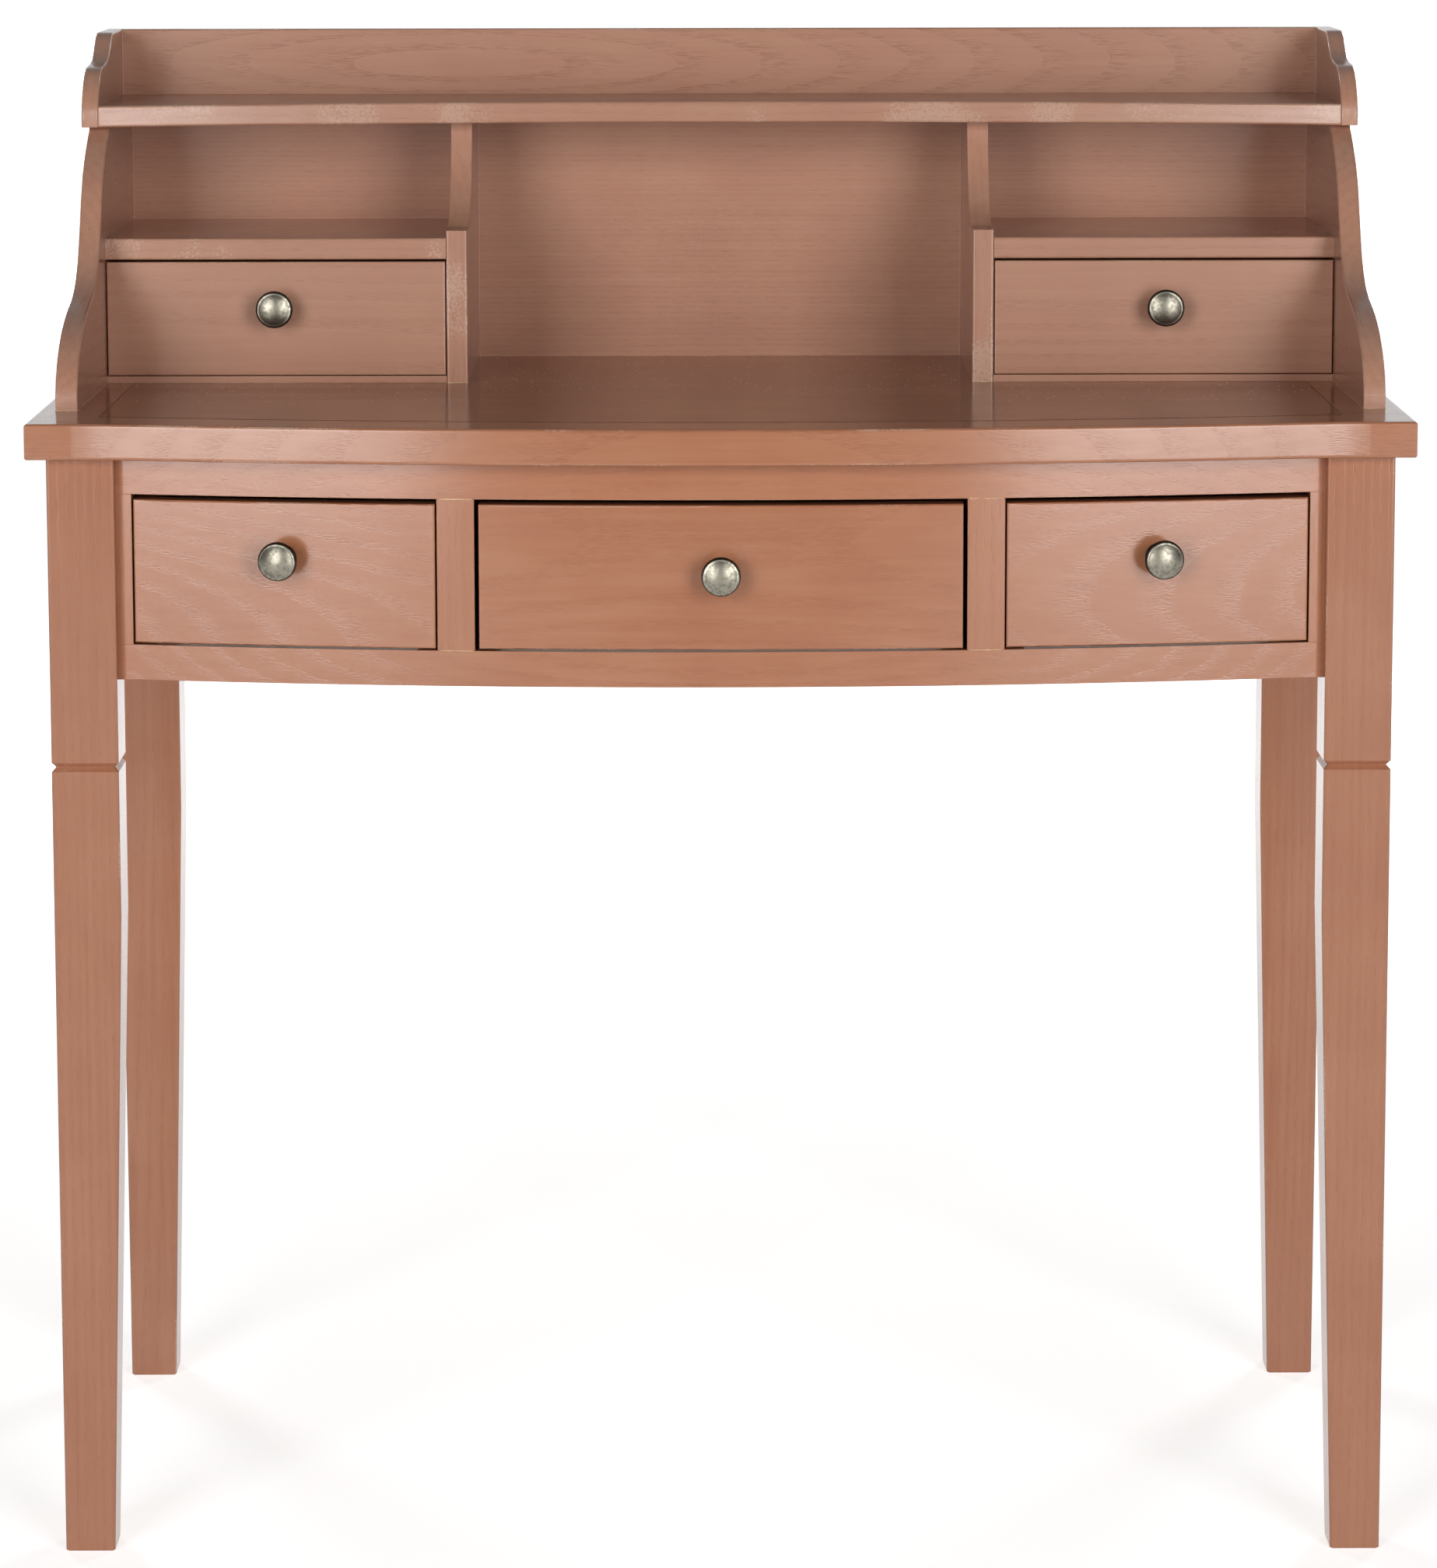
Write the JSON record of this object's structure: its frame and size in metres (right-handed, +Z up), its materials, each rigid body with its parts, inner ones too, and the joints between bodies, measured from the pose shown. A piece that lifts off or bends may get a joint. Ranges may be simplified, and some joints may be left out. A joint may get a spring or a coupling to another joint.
{
  "type": "writing desk",
  "caption": "Painted wooden writing desk with a bowed front, tapered legs, drawers under the top, and a low hutch with pigeonholes, small drawers and a scrolled gallery.",
  "frame": {"origin": "on the floor under the middle of the desk's outer box", "axes": "+Z up, -Y out of the front where the drawers open, +X to the right seen from the front"},
  "size_m": [0.92, 0.516, 1.0165],
  "materials": {
    "painted_wood": "satin paint, grain showing",
    "painted_top": "gloss paint, grain showing",
    "bare_wood": "planed, unpainted",
    "pewter": "antique satin",
    "zinc_steel": "zinc plated"
  },
  "bodies": {
    "desk": {"desktop_panel": "painted_top", "desktop_front_strip": "painted_top", "desktop_end_strips": "painted_top", "leg_front_left": "painted_wood", "leg_front_right": "painted_wood", "leg_rear_left": "painted_wood", "leg_rear_right": "painted_wood", "apron_top_rail": "painted_wood", "apron_bottom_rail": "painted_wood", "apron_stiles": "painted_wood", "apron_back": "painted_wood", "apron_side_left": "painted_wood", "apron_side_right": "painted_wood", "drawer_runners": "bare_wood", "corner_blocks": "bare_wood", "leg_bolts": "zinc_steel", "hutch_side_left": "painted_wood", "hutch_side_right": "painted_wood", "hutch_dividers": "painted_wood", "hutch_drawer_shelves": "painted_wood", "hutch_drawer_floors": "painted_wood", "hutch_back_panel": "painted_wood", "hutch_top_shelf": "painted_wood", "gallery_back": "painted_wood", "gallery_ends": "painted_wood"},
    "drawer_left": {"drawer_left_front": "painted_wood", "drawer_left_side_left": "bare_wood", "drawer_left_side_right": "bare_wood", "drawer_left_back": "bare_wood", "drawer_left_bottom": "bare_wood", "drawer_left_knob": "pewter", "drawer_left_knob_screw": "zinc_steel"},
    "drawer_center": {"drawer_center_front": "painted_wood", "drawer_center_side_left": "bare_wood", "drawer_center_side_right": "bare_wood", "drawer_center_back": "bare_wood", "drawer_center_bottom": "bare_wood", "drawer_center_knob": "pewter", "drawer_center_knob_screw": "zinc_steel"},
    "drawer_right": {"drawer_right_front": "painted_wood", "drawer_right_side_left": "bare_wood", "drawer_right_side_right": "bare_wood", "drawer_right_back": "bare_wood", "drawer_right_bottom": "bare_wood", "drawer_right_knob": "pewter", "drawer_right_knob_screw": "zinc_steel"},
    "hutch_drawer_left": {"hutch_drawer_left_front": "painted_wood", "hutch_drawer_left_side_left": "bare_wood", "hutch_drawer_left_side_right": "bare_wood", "hutch_drawer_left_back": "bare_wood", "hutch_drawer_left_bottom": "bare_wood", "hutch_drawer_left_knob": "pewter", "hutch_drawer_left_knob_screw": "zinc_steel"},
    "hutch_drawer_right": {"hutch_drawer_right_front": "painted_wood", "hutch_drawer_right_side_left": "bare_wood", "hutch_drawer_right_side_right": "bare_wood", "hutch_drawer_right_back": "bare_wood", "hutch_drawer_right_bottom": "bare_wood", "hutch_drawer_right_knob": "pewter", "hutch_drawer_right_knob_screw": "zinc_steel"}
  },
  "joints": [
    {"name": "drawer_left_slide", "type": "slide", "parent": "desk", "child": "drawer_left", "axis": [0, -1, 0], "range_m": [0, 0.28]},
    {"name": "drawer_center_slide", "type": "slide", "parent": "desk", "child": "drawer_center", "axis": [0, -1, 0], "range_m": [0, 0.28]},
    {"name": "drawer_right_slide", "type": "slide", "parent": "desk", "child": "drawer_right", "axis": [0, -1, 0], "range_m": [0, 0.28]},
    {"name": "hutch_drawer_left_slide", "type": "slide", "parent": "desk", "child": "hutch_drawer_left", "axis": [0, -1, 0], "range_m": [0, 0.13]},
    {"name": "hutch_drawer_right_slide", "type": "slide", "parent": "desk", "child": "hutch_drawer_right", "axis": [0, -1, 0], "range_m": [0, 0.13]}
  ]
}
